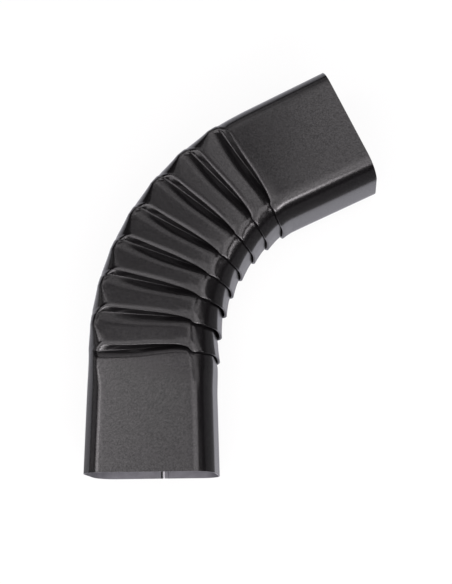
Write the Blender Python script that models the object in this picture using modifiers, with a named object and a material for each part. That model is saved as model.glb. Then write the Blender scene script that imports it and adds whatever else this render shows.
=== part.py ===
# Crimped downspout elbow, one folded and painted steel sheet, lying on its back wall.
# The lower leg runs along Y and the bend turns toward +X in the XY plane. Z is square to
# the bend: the back wall with the lock seam is at the bottom and the front face on top.
# A flat blank is rolled into a rounded rectangle, pleated at eight places, and given its
# thickness. Each ring laps over the ring below it, and the folds run out at the heel.

import math

import bmesh
import bpy

MM = 0.001
DEG = math.pi / 180.0

# Tube
TUBE_WIDTH = 96.0 * MM  # outside, from heel wall to throat wall, at the pleats
TUBE_DEPTH = 75.0 * MM  # outside, from back wall to front face
SHEET = 0.6 * MM
ROUND_CORNER = (15.6 * MM, 21.5 * MM)  # half width and half height of the corner's oval
SQUARED_CORNER = (7.5 * MM, 28.0 * MM)  # at the heel, just below each crease

# Legs and bend
LOWER_MOUTH = TUBE_WIDTH + 4.0 * MM  # outside width, where the downpipe below fits
UPPER_MOUTH = TUBE_WIDTH + 2.0 * MM
LOWER_LEG = 94.0 * MM
UPPER_LEG = 69.5 * MM
BEND = 65.3 * DEG
THROAT_RADIUS = 114.6 * MM

# Pleats
PLEATS = 8
PLEAT_TURN = 1.035 * BEND / PLEATS  # the pleats spread a little past the bend's ends
FOLD_LAYER = SHEET + 0.7 * MM  # from one folded layer's middle to the next, with a gap
LIP_ROUND = 1.1 * MM
VALLEY_ROUND = 0.8 * MM
SETTLE = 9.0 * MM  # the last ring evens out into the upper leg from here on
SQUARING = 26.0 * MM  # the lower leg's heel corner tightens over this, up to its crease
FIRST_OPENING = 0.5  # the first crease squares the heel corner only this far
LIP_DROP = (0.24, 0.125, 0.06, 0.03, 0.03, 0.02, 0.065, 0.08)  # pleat turns, at the throat
LIP_DRIFT = (-0.053, 0.018, 0.053, 0.024, -0.012, 0.018, -0.006, -0.06)  # over the faces
LIP_PROUD = (2.7, 3.3, 3.3, 2.7, 2.1, 1.7, 1.2, 0.8)  # millimetres, out of the throat wall

# Lock seam in the back wall
SEAM_PLACE = 1.9 * MM  # from the middle of the wall toward the throat
SEAM_WIDTH = 4.8 * MM
SEAM_RISE = 1.1 * MM  # into the tube
SEAM_SHOULDER = 0.9 * MM

# Where things lie around the tube. The girth runs from the middle of the heel wall at -2,
# by the heel corner at -1 to 0, the flat face at 0 to 1 and the throat corner at 1 to 2,
# to the middle of the throat wall at 3. Front and back halves are alike. The first three
# tables are in pleat turns: the lip's and the valley's place from the pleat's own, and how
# far before them the ring below starts to dip.
LIP_LINE = ((-1.0, -0.345), (-0.45, -0.36), (-0.2, -0.295), (0.0, -0.246), (0.28, -0.242),
            (0.6, -0.226), (0.75, -0.236), (0.85, -0.25), (1.0, -0.285), (1.15, -0.292),
            (1.3, -0.29), (1.6, -0.315), (3.0, -0.23))
VALLEY_LINE = ((-1.0, -0.465), (-0.45, -0.465), (0.0, -0.414), (0.28, -0.361), (0.5, -0.314),
               (0.85, -0.237), (1.4, -0.03), (3.0, 0.12))
APPROACH = ((-1.0, 0.142), (0.0, 0.213), (0.5, 0.296), (1.0, 0.272), (1.5, 0.189), (3.0, 0.178))
GROOVE_DEPTH = ((-0.45, 0.0), (-0.2, 1.2), (0.0, 2.7), (0.17, 4.2), (0.45, 5.8), (0.8, 6.0),
                (1.0, 5.0), (1.5, 3.65))  # millimetres
TUCK = ((0.7, 0.0), (1.25, 1.0))  # 0 is an open groove, 1 a closed fold
DRIFT_SHARE = ((-0.4, 0.0), (0.4, 1.0))
RING_SLOPE = ((0.0, 0.0), (0.6, 0.2), (1.0, 0.6), (1.4, 1.0))  # share of a full shingle's
PROUD_SHARE = ((1.3, 0.0), (2.0, 1.0))
SHIFT_END = 0.4  # the tighter heel corner pulls the face's metal along up to here

# How finely the blank is divided
GIRTH_STEPS = (-2.0, -1.0, -0.72, -0.45, -0.2, 0.0, 0.12, 0.3, 0.5, 0.7, 0.85, 1.0,
               1.25, 1.5, 1.75, 2.0, 3.0)
LOWER_STEPS = (0.0, 0.68, 0.88)  # shares of the lower leg, from its mouth
RING_STEPS = (0.33, 0.67)  # shares of a ring, from its lip
SETTLE_STEPS = (1.0, 2.5)  # in units of SETTLE, past the last lip
FOLD_STAGES = {  # each row of a fold, with its share of the change of the heel corner
    "approach": 0.0, "valley_in": 0.1, "valley": 0.3, "valley_out": 0.5,
    "under": 0.8, "front": 0.95, "lip": 1.0}

# Worked out from the above. The origin is at the middle of the floor that the part covers.
BEND_CENTRE = THROAT_RADIUS + TUBE_WIDTH / 2
FIRST_PLEAT = BEND / 2 - (PLEATS - 1) / 2 * PLEAT_TURN
FULL_SLOPE = 2 * FOLD_LAYER / (PLEAT_TURN * THROAT_RADIUS)
MOUTH_INSIDE = BEND_CENTRE - UPPER_MOUTH / 2
MOUTH_OUTSIDE = BEND_CENTRE + UPPER_MOUTH / 2
REACH_X = BEND_CENTRE - MOUTH_INSIDE * math.cos(BEND) + UPPER_LEG * math.sin(BEND)
REACH_Y = MOUTH_OUTSIDE * math.sin(BEND) + UPPER_LEG * math.cos(BEND)
ORIGIN_X = (REACH_X - LOWER_MOUTH / 2) / 2
ORIGIN_Y = (REACH_Y - LOWER_LEG) / 2


def mix(a, b, share):
    return a + (b - a) * share


def along(stations, girth):
    """The value at a place on the girth, between its two stations."""
    if girth <= stations[0][0]:
        return stations[0][1]
    for (g0, v0), (g1, v1) in zip(stations, stations[1:]):
        if girth <= g1:
            return mix(v0, v1, (girth - g0) / (g1 - g0))
    return stations[-1][1]


def section(girth, side, width, opening):
    """Middle of the sheet in the tube's section: across, up, and the outward normal.

    The corners are quarter ovals. The heel's is squared at an opening of 0.
    """
    half = (width - SHEET) / 2
    depth = (TUBE_DEPTH - SHEET) / 2
    round_across, round_up = (size - SHEET / 2 for size in ROUND_CORNER)
    heel_across = mix(SQUARED_CORNER[0] - SHEET / 2, round_across, opening)
    heel_up = mix(SQUARED_CORNER[1] - SHEET / 2, round_up, opening)
    normal = (0.0, 1.0)
    if girth < -1.0:
        normal = (-1.0, 0.0)
        across = -half
        up = mix(0.0, depth - heel_up, girth + 2.0)
    elif girth < 0.0:
        angle = -girth * math.pi / 2
        across = -half + heel_across * (1.0 - math.sin(angle))
        up = depth - heel_up * (1.0 - math.cos(angle))
        normal = (-heel_up * math.sin(angle), heel_across * math.cos(angle))
    elif girth <= 1.0:
        pulled = (heel_across - round_across) * max(0.0, 1.0 - girth / SHIFT_END)
        across = mix(round_across - half, half - round_across, girth) + pulled
        up = depth
    elif girth <= 2.0:
        angle = (girth - 1.0) * math.pi / 2
        across = half - round_across * (1.0 - math.sin(angle))
        up = depth - round_up * (1.0 - math.cos(angle))
        normal = (round_up * math.sin(angle), round_across * math.cos(angle))
    else:
        normal = (1.0, 0.0)
        across = half
        up = mix(depth - round_up, 0.0, girth - 2.0)
    length = math.hypot(*normal)
    return across, side * up, normal[0] / length, side * normal[1] / length


def place(across, up, turn, radius):
    """A point of the section, carried round the bend. Past its ends it goes straight on."""
    bent = min(max(turn, 0.0), BEND)
    straight = (turn - bent) * radius
    reach = BEND_CENTRE - across
    x = BEND_CENTRE - reach * math.cos(bent) + straight * math.sin(bent)
    y = reach * math.sin(bent) + straight * math.cos(bent)
    return x - ORIGIN_X, y - ORIGIN_Y, up + TUBE_DEPTH / 2


def seam_rise(across):
    """How far the lock seam lifts the back wall into the tube."""
    beyond = abs(across - SEAM_PLACE - SEAM_WIDTH / 2) - SEAM_WIDTH / 2 + SEAM_SHOULDER
    return SEAM_RISE * (1.0 - min(max(beyond / SEAM_SHOULDER, 0.0), 1.0))


def fold_row(pleat, stage, girth, radius):
    """Turn, outward offset and the heel corner's opening for one row of a fold.

    An open groove has a rounded lip, a steep wall, a valley and a ramp up to the ring
    below. A closed fold has three layers, with a half turn at the valley and at the lip.
    """
    tuck = along(TUCK, girth)
    drift = LIP_DRIFT[pleat % len(LIP_DRIFT)] * along(DRIFT_SHARE, girth)
    drop = LIP_DROP[pleat % len(LIP_DROP)] * tuck * tuck
    middle = FIRST_PLEAT + (pleat + drift - drop) * PLEAT_TURN
    lip = middle + along(LIP_LINE, girth) * PLEAT_TURN
    valley = middle + along(VALLEY_LINE, girth) * PLEAT_TURN
    approach = min(valley, lip) - along(APPROACH, girth) * PLEAT_TURN
    proud = LIP_PROUD[pleat % len(LIP_PROUD)] * along(PROUD_SHARE, girth) * MM
    slope = along(RING_SLOPE, girth) * FULL_SLOPE
    ramp_top = proud - slope * (approach - lip + PLEAT_TURN) * radius
    depth = along(GROOVE_DEPTH, girth) * MM
    lip_fall = min(LIP_ROUND, depth / 2)
    valley_rise = min(VALLEY_ROUND, depth / 4)
    inside = proud - slope * (valley - lip) * radius
    opened = {
        "approach": (approach, 0.0, ramp_top),
        "valley_in": (valley, -VALLEY_ROUND, proud - depth + 0.4 * valley_rise),
        "valley": (valley, 0.0, proud - depth),
        "valley_out": (valley, VALLEY_ROUND, proud - depth + 0.6 * valley_rise),
        "under": (lip, -LIP_ROUND, proud - lip_fall),
        "front": (lip, -LIP_ROUND / 3, proud - lip_fall / 3),
        "lip": (lip, LIP_ROUND / 2, proud),
    }
    closed = {
        "approach": (approach, 0.0, ramp_top),
        "valley_in": (valley, 0.0, inside - 2 * FOLD_LAYER),
        "valley": (valley, FOLD_LAYER / 2, inside - 1.5 * FOLD_LAYER),
        "valley_out": (valley, 0.0, inside - FOLD_LAYER),
        "under": (lip, 0.0, proud - FOLD_LAYER),
        "front": (lip, -FOLD_LAYER / 2, proud - FOLD_LAYER / 2),
        "lip": (lip, 0.0, proud),
    }
    turn, shift, out = (mix(a, b, tuck) for a, b in zip(opened[stage], closed[stage]))
    start = FIRST_OPENING if pleat == 0 else 0.0
    return turn + shift / radius, out, mix(start, 1.0, FOLD_STAGES[stage])


def blank_rows():
    """The blank's rows, from the lower mouth to the upper one."""
    rows = [("lower", 0, share) for share in LOWER_STEPS]
    for pleat in range(PLEATS):
        rows += [("fold", pleat, stage) for stage in FOLD_STAGES]
        if pleat < PLEATS - 1:
            rows += [("ring", pleat, share) for share in RING_STEPS]
    rows += [("settle", PLEATS - 1, share) for share in SETTLE_STEPS]
    return rows + [("upper", PLEATS - 1, 1.0)]


def blank_columns():
    """The blank's columns, as girth and side, from one edge at the seam to the other."""
    flat = TUBE_WIDTH - 2 * ROUND_CORNER[0]
    heel_end = ROUND_CORNER[0] - TUBE_WIDTH / 2
    seam_end = SEAM_PLACE + SEAM_WIDTH
    seam = (SEAM_PLACE, SEAM_PLACE + SEAM_SHOULDER, seam_end - SEAM_SHOULDER, seam_end)
    ridge = [((across - heel_end) / flat, -1) for across in seam]
    margin = 3 * SEAM_WIDTH / 4 / flat
    to_throat = [(girth, -1) for girth in GIRTH_STEPS if girth > ridge[-1][0] + margin]
    over_front = [(girth, 1) for girth in reversed(GIRTH_STEPS[:-1])]
    from_heel = [(girth, -1) for girth in GIRTH_STEPS[1:] if girth < ridge[0][0] - margin]
    return ridge + to_throat + over_front + from_heel + ridge[:1]


def folded(row, column):
    """Where a point of the blank ends up on the finished elbow."""
    kind, pleat, detail = row
    girth, side = column
    width = TUBE_WIDTH
    nominal = section(girth, side, TUBE_WIDTH, 1.0)[0]
    radius = BEND_CENTRE - nominal
    if kind == "fold":
        turn, out, opening = fold_row(pleat, detail, girth, radius)
    elif kind == "ring":
        start = fold_row(pleat, "lip", girth, radius)
        end = fold_row(pleat + 1, "approach", girth, radius)
        turn, out, opening = (mix(a, b, detail) for a, b in zip(start, end))
    elif kind == "settle":
        turn, out, opening = fold_row(pleat, "lip", girth, radius)
        turn = turn + detail * SETTLE / radius
        out = out - along(RING_SLOPE, girth) * FULL_SLOPE * SETTLE if detail <= 1.0 else 0.0
    elif kind == "lower":
        turn, out, opening = fold_row(pleat, "approach", girth, radius)
        turn = mix(-LOWER_LEG / radius, turn, detail)
        squaring = max(0.0, 1.0 - (1.0 - detail) * LOWER_LEG / SQUARING)
        out = out * squaring
        opening = mix(1.0, opening, squaring)
        width = mix(LOWER_MOUTH, TUBE_WIDTH, detail)
    else:
        turn = BEND + UPPER_LEG / radius
        out = 0.0
        opening = 1.0
        width = UPPER_MOUTH
    across, up, normal_across, normal_up = section(girth, side, width, opening)
    if side < 0 and 0.0 < girth < 1.0:
        out = out - seam_rise(nominal)
    return place(across + out * normal_across, up + out * normal_up, turn, radius)


def folded_sheet():
    """The blank as a grid, rolled, pleated and joined at the seam."""
    rows = blank_rows()
    columns = blank_columns()
    mesh = bmesh.new()
    bmesh.ops.create_grid(mesh, x_segments=len(rows) - 1, y_segments=len(columns) - 1, size=0.5)
    for vertex in mesh.verts:
        row = rows[round((vertex.co.x + 0.5) * (len(rows) - 1))]
        column = columns[round((vertex.co.y + 0.5) * (len(columns) - 1))]
        vertex.co = folded(row, column)
    bmesh.ops.remove_doubles(mesh, verts=mesh.verts, dist=0.01 * MM)
    bmesh.ops.recalc_face_normals(mesh, faces=mesh.faces)
    sheet = bpy.data.meshes.new("downspout_elbow")
    mesh.to_mesh(sheet)
    mesh.free()
    return sheet


def painted_steel():
    material = bpy.data.materials.new("painted_steel_anthracite")
    material.use_nodes = True
    paint = material.node_tree.nodes["Principled BSDF"]
    paint.inputs["Base Color"].default_value = (0.045, 0.043, 0.041, 1.0)
    paint.inputs["Roughness"].default_value = 0.38
    paint.inputs["Metallic"].default_value = 0.0
    return material


def main():
    for thing in list(bpy.data.objects):
        bpy.data.objects.remove(thing)
    collection = bpy.data.collections.new("downspout_elbow")
    bpy.context.scene.collection.children.link(collection)
    elbow = bpy.data.objects.new("downspout_elbow", folded_sheet())
    collection.objects.link(elbow)
    elbow.data.materials.append(painted_steel())
    elbow.data.shade_smooth()
    wall = elbow.modifiers.new("sheet_thickness", "SOLIDIFY")
    wall.thickness = SHEET
    wall.offset = 0.0  # half of the sheet on each side of its middle


main()
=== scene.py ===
# Crimped downspout elbow in anthracite painted sheet steel.
# One sheet, rolled into a rounded rectangular tube and folded into eight pleats, lying on
# its back wall. +Y runs up the lower leg, the bend turns toward +X, and +Z is the front.
# It is made as the frame's own node is, but far finer, with soft folds and a painted finish.
# Lengths are in millimetres and angles in degrees, unless a note says otherwise.

import math

import bmesh
import bpy
from mathutils import Matrix, Vector


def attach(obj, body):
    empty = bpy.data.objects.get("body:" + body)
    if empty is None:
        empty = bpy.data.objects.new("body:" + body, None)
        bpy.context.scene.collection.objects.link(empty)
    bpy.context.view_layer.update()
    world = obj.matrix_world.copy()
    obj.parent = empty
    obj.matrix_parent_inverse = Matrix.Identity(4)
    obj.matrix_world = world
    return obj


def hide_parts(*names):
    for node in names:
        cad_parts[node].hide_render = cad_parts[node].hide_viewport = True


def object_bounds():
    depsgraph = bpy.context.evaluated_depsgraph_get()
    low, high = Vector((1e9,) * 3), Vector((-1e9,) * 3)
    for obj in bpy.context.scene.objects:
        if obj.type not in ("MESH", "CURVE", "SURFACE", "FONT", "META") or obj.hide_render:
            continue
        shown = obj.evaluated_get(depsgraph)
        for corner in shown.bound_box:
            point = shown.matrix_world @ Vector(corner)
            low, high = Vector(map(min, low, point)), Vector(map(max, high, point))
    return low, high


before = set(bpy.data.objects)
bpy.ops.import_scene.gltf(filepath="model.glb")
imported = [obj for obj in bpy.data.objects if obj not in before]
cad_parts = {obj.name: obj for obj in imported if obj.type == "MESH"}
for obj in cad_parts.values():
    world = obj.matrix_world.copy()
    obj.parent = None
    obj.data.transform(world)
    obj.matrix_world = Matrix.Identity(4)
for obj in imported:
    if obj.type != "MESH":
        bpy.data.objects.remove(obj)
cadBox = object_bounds()
print("frame loaded, box in mm:", [round(side * 1000, 1) for side in cadBox[1] - cadBox[0]])

scene = bpy.context.scene
scene.view_settings.view_transform = "Standard"


# small helpers

def mix(a, b, share):
    return a + (b - a) * share


def clamp(value, low=0.0, high=1.0):
    return min(max(value, low), high)


def ease(share):
    share = clamp(share)
    return share * share * (3.0 - 2.0 * share)


def along(stations, place):
    # a smooth curve through the stations that never swings past them
    if place <= stations[0][0]:
        return stations[0][1]
    if place >= stations[-1][0]:
        return stations[-1][1]
    gaps = [after[0] - before[0] for before, after in zip(stations, stations[1:])]
    rises = [(after[1] - before[1]) / gap for before, after, gap in zip(stations, stations[1:], gaps)]
    slopes = [0.0]
    for before, after in zip(rises, rises[1:]):
        slopes.append(2.0 * before * after / (before + after) if before * after > 0.0 else 0.0)
    slopes.append(0.0)
    i = max(i for i in range(len(gaps)) if stations[i][0] <= place)
    t = (place - stations[i][0]) / gaps[i]
    low, high = stations[i][1], stations[i + 1][1]
    bow = (slopes[i] * (1.0 - t) - slopes[i + 1] * t) * gaps[i] + (high - low) * (2.0 * t - 1.0)
    return mix(low, high, t) + t * (1.0 - t) * bow


def spread(start, stop, count):
    # evenly spaced places, without the last one
    return [mix(start, stop, i / count) for i in range(count)]


def between(start, end, share):
    # a point of the straight line from start to end
    return [mix(a, b, share) for a, b in zip(start, end)]


def curveBetween(start, corner, end, share):
    # a point of the soft curve that rounds a corner
    return between(between(start, corner, share), between(corner, end, share), share)


def toward(start, goal, reach):
    # the point this far along, but never past the middle
    gap = math.dist(start, goal)
    return between(start, goal, min(reach / gap, 0.48) if gap > 1e-6 else 0.0)


# the elbow's sheet

elbow = {
    "width": 96.0,          # outside, heel wall to throat wall, at the pleats
    "depth": (cadBox[1].z - cadBox[0].z) * 1000,   # back wall to front face
    "sheet": 0.6,
    "roundCorner": (15.6, 21.5),   # half width and half height of the corner's oval
    "squaredCorner": (7.5, 28.0),  # at the heel, just below each crease
    "firstOpening": 0.5,    # the first crease squares the heel corner only this far
    "lowerMouth": 100.0,
    "upperMouth": 98.0,
    "lowerLeg": 94.0,
    "upperLeg": 69.5,
    "bend": 65.3,
    "throatRadius": 114.6,
    "pleats": 8,
    "pleatSpread": 1.035,   # the pleats reach a little past the bend's ends
    "layer": 1.3,           # from one folded layer's middle to the next
    "settle": 9.0,          # the last ring evens out into the upper leg over this
    "settleDip": 4.0,       # and goes on down a little first, with the last ring's slope
    "squaring": 26.0,       # the lower leg's heel corner tightens over this
    "shiftEnd": 0.4,        # the tighter corner pulls the face along, up to this girth
    "seamPlace": 1.9,       # from the middle of the back wall toward the throat
    "seamWidth": 4.8,
    "seamRise": 1.1,
    "seamShoulder": 0.9,
    "hemWidth": 1.1,        # the blank's edge, turned over beside the seam: its painted face shows
}

# Round the tube, the girth runs from the middle of the heel wall at -2, by the heel corner at
# -1 to 0, the flat face at 0 to 1 and the throat corner at 1 to 2, to the middle of the throat
# wall at 3. Front and back halves are alike. Lines are in pleat turns from the pleat's own
# place, and heights in millimetres.
fold = {
    "lipLine": ((-1.0, -0.345), (-0.45, -0.36), (-0.2, -0.295), (0.0, -0.238), (0.28, -0.236),
                (0.6, -0.224), (0.75, -0.236), (0.85, -0.25), (1.0, -0.285), (1.15, -0.292),
                (1.3, -0.29), (1.6, -0.315), (3.0, -0.23)),
    "valleyLine": ((-1.0, -0.465), (-0.45, -0.465), (0.0, -0.414), (0.28, -0.361), (0.5, -0.314),
                   (0.85, -0.237), (1.4, -0.03), (3.0, 0.12)),
    "approach": ((-1.0, 0.142), (0.0, 0.213), (0.5, 0.296), (1.0, 0.272), (1.5, 0.189), (3.0, 0.178)),
    "depth": ((-0.45, 0.0), (-0.2, 1.2), (0.0, 2.8), (0.17, 4.3), (0.45, 5.8), (0.8, 6.0),
              (1.0, 5.0), (1.5, 3.65)),
    "tuck": ((0.7, 0.0), (1.25, 1.0)),             # 0 is an open groove, 1 a closed fold
    # how steeply a ring falls from its lip, as a share of a full shingle's slope
    "ringSlope": ((-0.3, 0.0), (0.15, 0.45), (0.6, 0.45), (1.0, 0.6), (1.4, 1.0)),
    "legSlope": ((0.0, 0.0), (0.6, 0.2), (1.0, 0.6), (1.4, 1.0)),    # the same for a leg
    "proudShare": ((1.3, 0.0), (2.0, 1.0)),        # the lips stand out of the throat wall
    "lipProud": (2.7, 3.3, 3.3, 2.7, 2.1, 1.7, 1.2, 0.8),
    "lipReach": ((-0.3, 0.5), (0.1, 0.7), (0.6, 1.2), (1.1, 1.2)),   # the lip's rounding, down the wall
    "lipRoll": ((-0.4, 1.2), (0.0, 3.0), (0.85, 4.0), (1.25, 1.2)),   # and over the ring
    "closedRoll": ((0.75, 3.6), (1.1, 3.6), (1.5, 0.0)),             # the same, where the fold is shut
    "dip": ((0.8, 0.0), (1.02, 0.9), (1.5, 0.0)),      # the folds sink at the throat corner
    "firstApproach": 0.7,      # the leg stays flat nearly up to the lowest fold
    "dipAbove": 6.5,           # how far past a lip that reaches, and how far before it
    "dipBelow": 4.5,
    "valleyReach": 1.0,        # how far each corner's rounding reaches
    "shoulderReach": 3.0,
    "footReach": 6.0,          # where the ring below is taken for flat, before its shoulder
    "ringReach": 12.0,         # and the ring above, past its lip
    "flapShare": 0.4,          # the shoulder's rounding on a shut fold, of the way to its valley
    "driftShare": ((-0.4, 0.0), (0.4, 1.0)),       # the lips are uneven over the face, not at the heel
    # what is worked out at each place on the girth
    "lines": ("lipLine", "valleyLine", "approach", "depth", "tuck", "ringSlope", "legSlope",
              "proudShare", "lipReach", "lipRoll", "closedRoll", "dip", "driftShare"),
    # pleat by pleat, from the lower leg
    "slopeGain": (1.5, 1.3, 1.0, 1.0, 1.0, 1.0, 1.0, 1.0),
    # the folds aren't quite even: how far each shut fold sits low, and each lip off its place
    "lipDrop": (0.24, 0.125, 0.06, 0.03, 0.03, 0.02, 0.065, 0.08),
    "lipDrift": (-0.053, 0.018, 0.053, 0.024, -0.012, 0.018, -0.006, -0.06),
}

# how many rows of the sheet each stretch gets, from the lower mouth to the upper one
rowCounts = {"lower": 16, "shoulder": 5, "ramp": 4, "valley": 6, "wall": 3, "lip": 8, "ring": 9,
             "settle": 5, "upper": 8}
ringCrowding = 1.3   # the ring's rows stand closer toward its lip
# the heel corner goes from squared, 0, back to round, 1, through each fold
cornerShares = {"shoulder": (0.0, 0.05), "ramp": (0.05, 0.1), "valley": (0.1, 0.5),
                "wall": (0.5, 0.8), "lip": (0.8, 1.0)}
# how many columns each stretch of the girth gets
girthCounts = {-2: 4, -1: 14, 0: 26, 1: 14, 2: 4}
seamMargin = 0.6     # no other column stands nearer to the seam's, as a share of a column's width
seamFaces = (4, 7)   # columns of faces up to which the seam shows its hem's paint, then bare zinc

bendCentre = elbow["throatRadius"] + elbow["width"] / 2
bendTurn = math.radians(elbow["bend"])
pleatTurn = elbow["pleatSpread"] * bendTurn / elbow["pleats"]
firstPleat = bendTurn / 2 - (elbow["pleats"] - 1) / 2 * pleatTurn
fullSlope = 2 * elbow["layer"] / (pleatTurn * elbow["throatRadius"])


def tubeSection(girth, side, width, opening):
    # middle of the sheet: across, up, and the outward normal. The corners are quarter ovals
    half = (width - elbow["sheet"]) / 2
    depth = (elbow["depth"] - elbow["sheet"]) / 2
    roundAcross, roundUp = (size - elbow["sheet"] / 2 for size in elbow["roundCorner"])
    heelAcross = mix(elbow["squaredCorner"][0] - elbow["sheet"] / 2, roundAcross, opening)
    heelUp = mix(elbow["squaredCorner"][1] - elbow["sheet"] / 2, roundUp, opening)
    if girth < -1.0:
        return -half, side * mix(0.0, depth - heelUp, girth + 2.0), -1.0, 0.0
    if girth < 0.0:
        angle = -girth * math.pi / 2
        across = -half + heelAcross * (1.0 - math.sin(angle))
        up = depth - heelUp * (1.0 - math.cos(angle))
        normal = Vector((-heelUp * math.sin(angle), heelAcross * math.cos(angle))).normalized()
        return across, side * up, normal.x, side * normal.y
    if girth <= 1.0:
        pulled = (heelAcross - roundAcross) * max(0.0, 1.0 - girth / elbow["shiftEnd"])
        return mix(roundAcross - half, half - roundAcross, girth) + pulled, side * depth, 0.0, side
    if girth <= 2.0:
        angle = (girth - 1.0) * math.pi / 2
        across = half - roundAcross * (1.0 - math.sin(angle))
        up = depth - roundUp * (1.0 - math.cos(angle))
        normal = Vector((roundUp * math.sin(angle), roundAcross * math.cos(angle))).normalized()
        return across, side * up, normal.x, side * normal.y
    return half, side * mix(depth - roundUp, 0.0, girth - 2.0), 1.0, 0.0


def roundTheBend(across, up, turn, radius):
    # past the bend's ends the sheet goes straight on
    bent = clamp(turn, 0.0, bendTurn)
    straight = (turn - bent) * radius
    reach = bendCentre - across
    x = bendCentre - reach * math.cos(bent) + straight * math.sin(bent)
    y = reach * math.sin(bent) + straight * math.cos(bent)
    return x, y, up + elbow["depth"] / 2


def seamRise(across):
    beyond = abs(across - elbow["seamPlace"] - elbow["seamWidth"] / 2) - elbow["seamWidth"] / 2
    return elbow["seamRise"] * (1.0 - ease(beyond / elbow["seamShoulder"] + 1.0))


def foldAt(girth):
    # what the folds are like at one place on the girth
    here = {name: along(fold[name], girth) for name in fold["lines"]}
    here["tuck"] = ease(here["tuck"])
    return here


def foldLines(pleat, here):
    # the turns at which a pleat's lip, its valley and the shoulder below them lie
    drift = fold["lipDrift"][pleat] * here["driftShare"]
    drop = fold["lipDrop"][pleat] * here["tuck"] ** 2
    middle = firstPleat + (pleat + drift - drop) * pleatTurn
    lip = middle + here["lipLine"] * pleatTurn
    valley = middle + here["valleyLine"] * pleatTurn
    reach = here["approach"] * (fold["firstApproach"] if pleat == 0 else 1.0)
    return lip, valley, min(lip, valley) - reach * pleatTurn


def slopeAbove(pleat, here):
    # how steeply the sheet falls past a pleat. Past -1 is the lower leg
    leg = pleat in (-1, elbow["pleats"] - 1)
    gain = fold["slopeGain"][pleat] if pleat >= 0 else 1.0
    return here["legSlope" if leg else "ringSlope"] * fullSlope * gain


def foldPoint(pleat, stretch, share, here, radius):
    # a point of a fold's cross-section: turn round the bend, outward offset, corner's share
    lip, valley, approach = foldLines(pleat, here)
    toValley = (valley - lip) * radius
    toApproach = (approach - lip) * radius
    slope = slopeAbove(pleat, here)
    slopeBelow = slopeAbove(pleat - 1, here)
    proud = fold["lipProud"][pleat] * here["proudShare"]
    ringBack = pleatTurn * radius
    toFoot = toApproach - fold["footReach"]
    ringFoot = [toFoot, proud - slopeBelow * (toFoot + ringBack)]
    shoulder = [toApproach, proud - slopeBelow * (toApproach + ringBack)]
    bottom = [toValley, proud - here["depth"]]
    corner = [0.0, proud]
    ringStart = [fold["ringReach"], proud - slope * fold["ringReach"]]
    flap = min(fold["shoulderReach"], fold["flapShare"] * (toValley - toApproach))
    half = elbow["layer"] / 2
    inside = proud - slope * toValley
    ringIn = [toValley, inside - 4 * half]
    if stretch == "shoulder":
        start = toward(shoulder, ringFoot, fold["shoulderReach"])
        end = toward(shoulder, bottom, fold["shoulderReach"])
        opened = curveBetween(start, shoulder, end, share)
        closed = [toApproach + mix(-flap, flap, share), 0.0]
        closed[1] = shoulder[1] - slopeBelow * (closed[0] - toApproach)
    elif stretch == "ramp":
        start = toward(shoulder, bottom, fold["shoulderReach"])
        end = toward(bottom, shoulder, fold["valleyReach"])
        opened = between(start, end, share)
        closed = between([toApproach + flap, shoulder[1] - slopeBelow * flap], ringIn, share)
    elif stretch == "valley":
        start = toward(bottom, shoulder, fold["valleyReach"])
        end = toward(bottom, corner, fold["valleyReach"])
        opened = curveBetween(start, bottom, end, share)
        angle = share * math.pi
        closed = [toValley + half * math.sin(angle), inside - 3 * half - half * math.cos(angle)]
    elif stretch == "wall":
        start = toward(bottom, corner, fold["valleyReach"])
        end = toward(corner, bottom, here["lipReach"])
        opened = between(start, end, share)
        closed = [toValley * (1.0 - share), mix(inside - 2 * half, proud - 2 * half, share)]
    else:
        start = toward(corner, bottom, here["lipReach"])
        end = toward(corner, ringStart, here["lipRoll"])
        opened = curveBetween(start, corner, end, share)
        angle = share * math.pi
        closed = [-half * math.sin(angle), proud - half - half * math.cos(angle)]
        if share > 0.5:
            closed[0] = -half + (half + here["closedRoll"]) * (1.0 - math.sin(angle))
            closed[1] -= slope * max(closed[0], 0.0)
    shift, out = between(opened, closed, here["tuck"])
    opening = mix(*cornerShares[stretch], share)
    if pleat == 0:
        opening = mix(elbow["firstOpening"], 1.0, opening)
    return lip + shift / radius, out, opening


def sheetRows():
    rows = [("lower", 0, share) for share in spread(0.0, 1.0, rowCounts["lower"])]
    for pleat in range(elbow["pleats"]):
        rows.append(("shoulder", pleat, 0.0))
        for stretch in cornerShares:
            rows += [(stretch, pleat, (i + 1) / rowCounts[stretch]) for i in range(rowCounts[stretch])]
        if pleat < elbow["pleats"] - 1:
            shares = spread(0.0, 1.0, rowCounts["ring"])[1:]
            rows += [("ring", pleat, share ** ringCrowding) for share in shares]
    for stretch in ("settle", "upper"):
        rows += [(stretch, 0, (i + 1) / rowCounts[stretch]) for i in range(rowCounts[stretch])]
    return rows


def sheetColumns():
    # girth and side, from one edge at the seam, over the throat and the front, to the other
    girths = [start + share for start, count in girthCounts.items() for share in spread(0.0, 1.0, count)]
    flat = elbow["width"] - 2 * elbow["roundCorner"][0]
    heelEnd = elbow["roundCorner"][0] - elbow["width"] / 2
    first = elbow["seamPlace"]
    last = first + elbow["seamWidth"]
    across = [first - elbow["hemWidth"], first - elbow["hemWidth"] / 2]
    across += spread(first, first + elbow["seamShoulder"], 4)
    across += spread(first + elbow["seamShoulder"], last - elbow["seamShoulder"], 3)
    across += spread(last - elbow["seamShoulder"], last, 4) + [last]
    seam = [((place - heelEnd) / flat, -1) for place in across]
    margin = seamMargin / girthCounts[0]
    columns = seam + [(girth, -1) for girth in girths if girth > seam[-1][0] + margin]
    columns += [(girth, 1) for girth in [3.0] + girths[::-1]]
    return columns + [(girth, -1) for girth in girths[1:] if girth < seam[0][0] - margin] + seam[:1]


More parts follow.
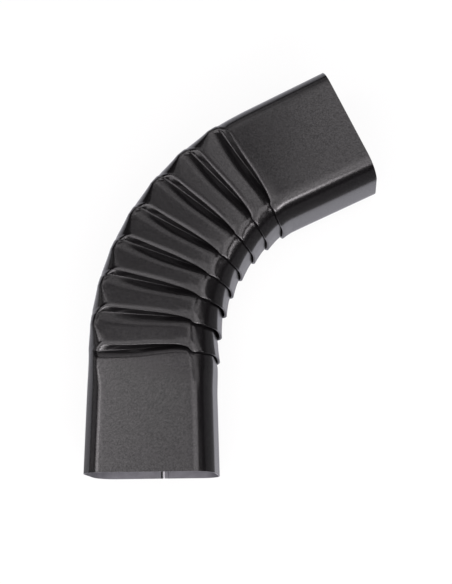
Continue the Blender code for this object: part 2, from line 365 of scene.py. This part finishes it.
def dipAt(turn, here, radius):
    # how far the sheet sinks near the folds, where they cross the throat corner
    sunk = 0.0
    for pleat in range(elbow["pleats"]):
        past = (turn - foldLines(pleat, here)[0]) * radius
        sunk += 1.0 - ease(past / fold["dipAbove"] if past > 0.0 else -past / fold["dipBelow"])
    return here["dip"] * sunk


def sheetPoint(row, column, here):
    stretch, pleat, share = row
    girth, side = column
    nominal = tubeSection(girth, side, elbow["width"], 1.0)[0]
    radius = bendCentre - nominal
    width = elbow["width"]
    lastLip = foldPoint(elbow["pleats"] - 1, "lip", 1.0, here, radius)
    settled = lastLip[0] + elbow["settle"] / radius
    if stretch == "lower":
        turn, out, opening = foldPoint(0, "shoulder", 0.0, here, radius)
        turn = mix(-elbow["lowerLeg"] / radius, turn, share)
        squaring = ease(1.0 - (1.0 - share) * elbow["lowerLeg"] / elbow["squaring"])
        out *= squaring
        opening = mix(1.0, opening, squaring)
        width = mix(elbow["lowerMouth"], elbow["width"], share)
    elif stretch == "ring":
        first = foldPoint(pleat, "lip", 1.0, here, radius)
        last = foldPoint(pleat + 1, "shoulder", 0.0, here, radius)
        turn, out, opening = (mix(a, b, share) for a, b in zip(first, last))
    elif stretch == "settle":
        turn = mix(lastLip[0], settled, share)
        dip = elbow["settleDip"] * here["legSlope"] * fullSlope * share * (1.0 - share) ** 2
        out = lastLip[1] * (1.0 - ease(share)) - dip
        opening = 1.0
    elif stretch == "upper":
        turn = mix(settled, bendTurn + elbow["upperLeg"] / radius, share)
        out = 0.0
        opening = 1.0
        width = mix(elbow["width"], elbow["upperMouth"], share)
    else:
        turn, out, opening = foldPoint(pleat, stretch, share, here, radius)
    across, up, normalAcross, normalUp = tubeSection(girth, side, width, opening)
    if here["dip"] > 0.0:
        out -= dipAt(turn, here, radius)
    if side < 0 and 0.0 < girth < 1.0:
        out -= seamRise(nominal)
    return roundTheBend(across + out * normalAcross, up + out * normalUp, turn, radius)


def makeElbow():
    rows = sheetRows()
    columns = sheetColumns()
    folds = {column: foldAt(column[0]) for column in columns}
    mesh = bmesh.new()
    bmesh.ops.create_grid(mesh, x_segments=len(rows) - 1, y_segments=len(columns) - 1, size=0.5)
    seamPart = mesh.faces.layers.int.new("seam_part")   # 1 is the painted hem, 2 is bare zinc
    for face in mesh.faces:
        index = int((face.calc_center_median().y + 0.5) * (len(columns) - 1))
        face[seamPart] = 1 if index < seamFaces[0] else 2 if index < seamFaces[1] else 0
    for vertex in mesh.verts:
        row = rows[round((vertex.co.x + 0.5) * (len(rows) - 1))]
        column = columns[round((vertex.co.y + 0.5) * (len(columns) - 1))]
        vertex.co = sheetPoint(row, column, folds[column])
    bmesh.ops.remove_doubles(mesh, verts=mesh.verts, dist=0.005)   # joins the blank's two edges
    bmesh.ops.recalc_face_normals(mesh, faces=mesh.faces)
    bmesh.ops.scale(mesh, verts=mesh.verts, vec=(0.001, 0.001, 0.001))
    sheet = bpy.data.meshes.new("elbow_sheet")
    mesh.to_mesh(sheet)
    mesh.free()
    piece = bpy.data.objects.new("elbow_sheet", sheet)
    scene.collection.objects.link(piece)
    thickness = piece.modifiers.new("sheet thickness", "SOLIDIFY")
    thickness.thickness = elbow["sheet"] / 1000
    thickness.offset = 0.0
    thickness.material_offset = 1       # the backing coat, inside
    thickness.material_offset_rim = 2   # the cut edges at the mouths
    return piece


def finishMesh(piece):
    # the thickness becomes part of the mesh, in the middle of the frame's box. Returns how far
    # that moved it over the floor
    seen = piece.evaluated_get(bpy.context.evaluated_depsgraph_get())
    piece.data = bpy.data.meshes.new_from_object(seen)
    piece.modifiers.clear()
    parts = piece.data.attributes["seam_part"].data
    for face in piece.data.polygons:
        if face.material_index == 1 and parts[face.index].value:
            face.material_index = 0 if parts[face.index].value == 1 else 2
    low, high = (Vector(pick(vertex.co[axis] for vertex in piece.data.vertices) for axis in range(3))
                 for pick in (min, max))
    shift = (cadBox[0] + cadBox[1] - low - high) / 2
    piece.data.transform(Matrix.Translation(shift))
    piece.data.shade_smooth()
    piece.data.set_sharp_from_angle(angle=math.radians(60))
    return Vector((shift.x, shift.y, 0.0))


# materials

def linear(hexColour):
    # a colour as it is read off a screen, for a shader's socket
    parts = [int(hexColour[i:i + 2], 16) / 255 for i in (1, 3, 5)]
    return [part / 12.92 if part <= 0.04045 else ((part + 0.055) / 1.055) ** 2.4
            for part in parts] + [1.0]


def addNode(tree, kind, settings=None, sockets=None, links=None):
    # sockets and links go by the socket's name, or by its place where a node repeats the name
    node = tree.nodes.new(kind)
    for name, value in (settings or {}).items():
        setattr(node, name, value)
    for name, value in (sockets or {}).items():
        node.inputs[name].default_value = value
    for name, (source, output) in (links or {}).items():
        tree.links.new(source.outputs[output], node.inputs[name])
    return node


def noiseScale(blotch):
    # a noise goes up and down once in about two blotches, which are in millimetres
    return 1000 / blotch / 2


def newMaterial(name):
    material = bpy.data.materials.new(name)
    material.use_nodes = True
    material.node_tree.nodes.clear()
    return material, material.node_tree


# IOR and roughness start from typical values, and the paint's roughness is matched to the photo
paint = {
    "colour": "#070607",
    "paleSpeck": "#161516",
    "roughness": 0.22,
    "ior": 1.5,
    "gleam": (0.28, 0.72),   # how strongly the dullest and the glossiest grains reflect
    "speckSize": 0.45,       # a paint grain is nearer 0.2 mm, drawn as coarse as it needs to show
    "grainLift": 0.02,
    "grainShare": 0.25,      # how much of that lift the light sees
}


def satinPolyesterPaint():
    # Coil-coated polyester: a nearly black satin skin with a fine, slightly pale grain
    material, tree = newMaterial("satin_polyester_paint")
    place = addNode(tree, "ShaderNodeTexCoord")
    grain = addNode(tree, "ShaderNodeTexNoise",
                    sockets={"Scale": noiseScale(paint["speckSize"]), "Detail": 3.0, "Roughness": 0.6},
                    links={"Vector": (place, "Object")})
    colour = addNode(tree, "ShaderNodeValToRGB", links={"Fac": (grain, "Fac")})
    colour.color_ramp.elements[0].position = 0.35
    colour.color_ramp.elements[0].color = linear(paint["colour"])
    colour.color_ramp.elements[1].position = 0.75
    colour.color_ramp.elements[1].color = linear(paint["paleSpeck"])
    gleam = addNode(tree, "ShaderNodeMapRange",
                    sockets={"From Min": 0.3, "From Max": 0.7,
                             "To Min": paint["gleam"][0], "To Max": paint["gleam"][1]},
                    links={"Value": (grain, "Fac")})
    lift = addNode(tree, "ShaderNodeBump",
                   sockets={"Strength": paint["grainShare"], "Distance": paint["grainLift"] / 1000},
                   links={"Height": (grain, "Fac")})
    skin = addNode(tree, "ShaderNodeBsdfPrincipled",
                   sockets={"Roughness": paint["roughness"], "IOR": paint["ior"]},
                   links={"Base Color": (colour, "Color"), "Normal": (lift, "Normal"),
                          "Specular IOR Level": (gleam, "Result")})
    addNode(tree, "ShaderNodeOutputMaterial", links={"Surface": (skin, "BSDF")})
    return material


backing = {"dark": "#606065", "pale": "#6c6c71", "cloudSize": 3.0, "roughness": 0.5, "ior": 1.5}


def greyBackingCoat():
    # The thin grey coat that coil-coated steel has on its inside: matt and even
    material, tree = newMaterial("grey_backing_coat")
    place = addNode(tree, "ShaderNodeTexCoord")
    cloud = addNode(tree, "ShaderNodeTexNoise",
                    sockets={"Scale": noiseScale(backing["cloudSize"]), "Detail": 3.0},
                    links={"Vector": (place, "Object")})
    colour = addNode(tree, "ShaderNodeValToRGB", links={"Fac": (cloud, "Fac")})
    colour.color_ramp.elements[0].position = 0.3
    colour.color_ramp.elements[0].color = linear(backing["dark"])
    colour.color_ramp.elements[1].position = 0.7
    colour.color_ramp.elements[1].color = linear(backing["pale"])
    skin = addNode(tree, "ShaderNodeBsdfPrincipled",
                   sockets={"Roughness": backing["roughness"], "IOR": backing["ior"]},
                   links={"Base Color": (colour, "Color")})
    addNode(tree, "ShaderNodeOutputMaterial", links={"Surface": (skin, "BSDF")})
    return material


zinc = {"colour": "#dedee2", "scoreSize": 0.75, "roughness": (0.45, 0.65)}


def shearedZincEdge():
    # The sheet's cut edge: bare zinc-coated steel, bright and lightly scored by the shear
    material, tree = newMaterial("sheared_zinc_edge")
    place = addNode(tree, "ShaderNodeTexCoord")
    scoring = addNode(tree, "ShaderNodeTexNoise",
                      sockets={"Scale": noiseScale(zinc["scoreSize"]), "Detail": 2.0},
                      links={"Vector": (place, "Object")})
    shine = addNode(tree, "ShaderNodeMapRange",
                    sockets={"To Min": zinc["roughness"][0], "To Max": zinc["roughness"][1]},
                    links={"Value": (scoring, "Fac")})
    skin = addNode(tree, "ShaderNodeBsdfPrincipled",
                   sockets={"Base Color": linear(zinc["colour"]), "Metallic": 1.0},
                   links={"Roughness": (shine, "Result")})
    addNode(tree, "ShaderNodeOutputMaterial", links={"Surface": (skin, "BSDF")})
    return material


elbowSheet = makeElbow()
for finish in (satinPolyesterPaint(), greyBackingCoat(), shearedZincEdge()):
    elbowSheet.data.materials.append(finish)
floorShift = finishMesh(elbowSheet)
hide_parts("downspout_elbow")
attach(elbowSheet, "root")
print("elbow folded,", len(elbowSheet.data.polygons), "faces")


# studio

studio = {
    "floorSize": 8.0,          # metres
    "floorShadow": 0.12,       # how much of the floor's look is plain lit white
    "dimUpTo": -0.03,          # metres past the origin, toward the heel
    "brightFrom": 0.15,
    "dimLevel": 0.1,
    "brightLevel": 1.0,
    "floorTint": "#f6f5ff",    # as gloss sees it
    "paper": (0.85, 0.85, 0.85, 1.0),   # its plain lit white
    "heelward": (-0.707, 0.707, 0.0),
    "matMargin": 18.0,         # millimetres
    "matSteps": 24,            # round the bend
    "matPlaces": (-0.03, 0.06),    # metres along X, from the lower leg's side to the upper one's
    "matLevel": (0.5, 0.95),       # at those places
    "floorHeight": -0.4,       # millimetres, just clear of the elbow
    "matHeight": -0.2,
    "lampTint": "#fffafd",
}

# Softboxes, in millimetres, aimed at the elbow. Level 1 is as bright as white paper
lamps = {
    "overheadHeel": {"place": (-240, -165, 1300), "aim": (-240, -165, 0),
                     "size": (1020, 1130), "level": 1.7},
    "overheadThroat": {"place": (785, -165, 1300), "aim": (785, -165, 0),
                       "size": (1030, 1130), "level": 2.9},
    "overheadFront": {"place": (785, -1295, 1300), "aim": (785, -1295, 0),
                      "size": (1030, 1130), "level": 1.9},
    "overheadMouth": {"place": (-240, -1100, 1300), "aim": (-240, -1100, 0),
                      "size": (1020, 740), "level": 1.2},
    "overheadBack": {"place": (175, 560, 1300), "aim": (175, 560, 0),
                     "size": (350, 330), "level": 1.95},
    "frontStrip": {"place": (80, -916, 919), "aim": (0, 0, 0), "size": (1000, 230), "level": 10.0},
    "heelBox": {"place": (-480, 85, 1205), "aim": (0, 0, 0), "size": (410, 410), "level": 1.5},
    "heelStrip": {"place": (-727, 0, 1078), "aim": (0, 0, 0), "size": (230, 330), "level": 6.5},
    "heelFront": {"place": (-796, -460, 919), "aim": (0, 0, 0), "size": (550, 550), "level": 3.5},
    "keyLamp": {"place": (483, -837, 870), "aim": (0, 0, 0), "size": (300, 260), "level": 8.0},
    "sideLamp": {"place": (1109, -297, 610), "aim": (0, 0, 0), "size": (240, 200), "level": 9.0},
    "throatSide": {"place": (940, 500, 746), "aim": (0, 0, 0), "size": (550, 550), "level": 1.6},
    "heelLow": {"place": (-1205, 0, 487), "aim": (0, 0, 0), "size": (800, 600), "level": 0.6},
    "backFill": {"place": (-70, 797, 1024), "aim": (0, 0, 0), "size": (800, 550), "level": 1.2},
    "lowBack": {"place": (-400, 1090, 590), "aim": (0, 0, 0), "size": (500, 560), "level": 0.7},
}

camera = {
    "place": (79.43, -224.54, 944.35),
    "aim": (-6.70, -14.64, 37.5),
    "roll": -0.36,
    "lens": 72.83,
}


def aimed(place, aim, roll):
    # looks from place to aim, with the picture's top toward +Y
    back = (Vector(place) - Vector(aim)).normalized()
    right = Vector((0, 1, 0)).cross(back).normalized()
    turned = Matrix((right, back.cross(right), back)).transposed().to_4x4()
    turned = turned @ Matrix.Rotation(math.radians(roll), 4, "Z")
    return Matrix.Translation(Vector(place) / 1000) @ turned


def paleSurface(name, glossyLevel):
    # White to the camera, but for a share that keeps the elbow's shadow. Gloss sees a level of its own,
    # painted light and shade, as a table that is lit only in places would show
    material, tree = newMaterial(name)
    matt = addNode(tree, "ShaderNodeBsdfDiffuse", sockets={"Color": studio["paper"]})
    ray = addNode(tree, "ShaderNodeLightPath")
    level = glossyLevel(tree)
    strength = addNode(tree, "ShaderNodeMath", settings={"operation": "MAXIMUM"},
                       links={0: (level, "Result"), 1: (ray, "Is Camera Ray")})
    tint = addNode(tree, "ShaderNodeMixRGB",
                   sockets={"Color1": linear(studio["floorTint"]), "Color2": linear("#ffffff")},
                   links={"Fac": (ray, "Is Camera Ray")})
    white = addNode(tree, "ShaderNodeEmission",
                    links={"Strength": (strength, "Value"), "Color": (tint, "Color")})
    blended = addNode(tree, "ShaderNodeMixShader", sockets={"Fac": studio["floorShadow"]},
                      links={1: (white, "Emission"), 2: (matt, "BSDF")})
    cameraOrGloss = addNode(tree, "ShaderNodeMath", settings={"operation": "MAXIMUM"},
                            links={0: (ray, "Is Camera Ray"), 1: (ray, "Is Glossy Ray")})
    shown = addNode(tree, "ShaderNodeMath", settings={"operation": "MAXIMUM"},
                    links={0: (cameraOrGloss, "Value"), 1: (ray, "Is Transmission Ray")})
    chosen = addNode(tree, "ShaderNodeMixShader",
                     links={"Fac": (shown, "Value"), 1: (matt, "BSDF"), 2: (blended, "Shader")})
    addNode(tree, "ShaderNodeOutputMaterial", links={"Surface": (chosen, "Shader")})
    return material


def brightPastHeel(tree):
    # painted shade and light in reflections: gloss sees the floor dim inside the bend, and ever brighter
    # out past the heel
    place = addNode(tree, "ShaderNodeTexCoord")
    outward = addNode(tree, "ShaderNodeVectorMath", settings={"operation": "DOT_PRODUCT"},
                      sockets={1: studio["heelward"]}, links={0: (place, "Object")})
    return addNode(tree, "ShaderNodeMapRange",
                   sockets={"From Min": studio["dimUpTo"], "From Max": studio["brightFrom"],
                            "To Min": studio["dimLevel"], "To Max": studio["brightLevel"]},
                   links={"Value": (outward, "Value")})


def brightUnderUpperLeg(tree):
    place = addNode(tree, "ShaderNodeTexCoord")
    parts = addNode(tree, "ShaderNodeSeparateXYZ", links={"Vector": (place, "Object")})
    return addNode(tree, "ShaderNodeMapRange",
                   sockets={"From Min": studio["matPlaces"][0], "From Max": studio["matPlaces"][1],
                            "To Min": studio["matLevel"][0], "To Max": studio["matLevel"][1]},
                   links={"Value": (parts, "X")})


def layFlat(name, mesh, height, material):
    surface = bpy.data.meshes.new(name)
    mesh.to_mesh(surface)
    mesh.free()
    surface.materials.append(material)
    sheet = bpy.data.objects.new(name, surface)
    sheet.location.z = height / 1000
    scene.collection.objects.link(sheet)


def makeFloor():
    mesh = bmesh.new()
    bmesh.ops.create_grid(mesh, x_segments=1, y_segments=1, size=studio["floorSize"] / 2)
    layFlat("studio_floor", mesh, studio["floorHeight"], paleSurface("pale_studio_floor", brightPastHeel))


def makeMat():
    # a pale mat, cut a little larger than the elbow that lies on it; gloss sees it as a painted pool of
    # light, brighter under the upper leg
    mesh = bmesh.new()
    turns = [-(elbow["lowerLeg"] + studio["matMargin"]) / bendCentre]
    turns += spread(0.0, bendTurn, studio["matSteps"]) + [bendTurn]
    turns += [bendTurn + (elbow["upperLeg"] + studio["matMargin"]) / bendCentre]
    reach = elbow["width"] / 2 + studio["matMargin"]
    edges = []
    for turn in turns:
        ends = (roundTheBend(across, 0.0, turn, bendCentre) for across in (-reach, reach))
        edges.append([mesh.verts.new((x / 1000, y / 1000, 0.0)) for x, y, up in ends])
    for before, after in zip(edges, edges[1:]):
        mesh.faces.new((before[0], before[1], after[1], after[0]))
    bmesh.ops.translate(mesh, verts=mesh.verts, vec=floorShift)
    layFlat("pale_mat", mesh, studio["matHeight"], paleSurface("pale_mat", brightUnderUpperLeg))


def makeWorld():
    # a dark studio round the softboxes, though the camera sees it white beyond the floor
    world = bpy.data.worlds.new("dark_studio")
    scene.world = world
    world.use_nodes = True
    tree = world.node_tree
    tree.nodes.clear()
    ray = addNode(tree, "ShaderNodeLightPath")
    glow = addNode(tree, "ShaderNodeBackground", sockets={"Color": (1.0, 1.0, 1.0, 1.0)},
                   links={"Strength": (ray, "Is Camera Ray")})
    addNode(tree, "ShaderNodeOutputWorld", links={"Surface": (glow, "Background")})


def makeLamps():
    for name, lamp in lamps.items():
        light = bpy.data.lights.new(name, "AREA")
        light.shape = "RECTANGLE"
        light.size, light.size_y = (side / 1000 for side in lamp["size"])
        light.energy = lamp["level"] * math.pi * light.size * light.size_y
        light.color = linear(studio["lampTint"])[:3]
        holder = bpy.data.objects.new(name, light)
        back = Vector(lamp["place"]) - Vector(lamp["aim"])
        turned = back.to_track_quat("Z", "Y").to_matrix().to_4x4()
        holder.matrix_world = Matrix.Translation(Vector(lamp["place"]) / 1000) @ turned
        scene.collection.objects.link(holder)


def makeCamera():
    view = bpy.data.cameras.new("photo_view")
    view.lens = camera["lens"]
    view.clip_start = 0.01
    view.clip_end = 50.0
    holder = bpy.data.objects.new("photo_view", view)
    holder.matrix_world = aimed(camera["place"], camera["aim"], camera["roll"])
    scene.collection.objects.link(holder)
    scene.camera = holder


makeFloor()
makeMat()
makeWorld()
makeLamps()
makeCamera()
print("studio set")
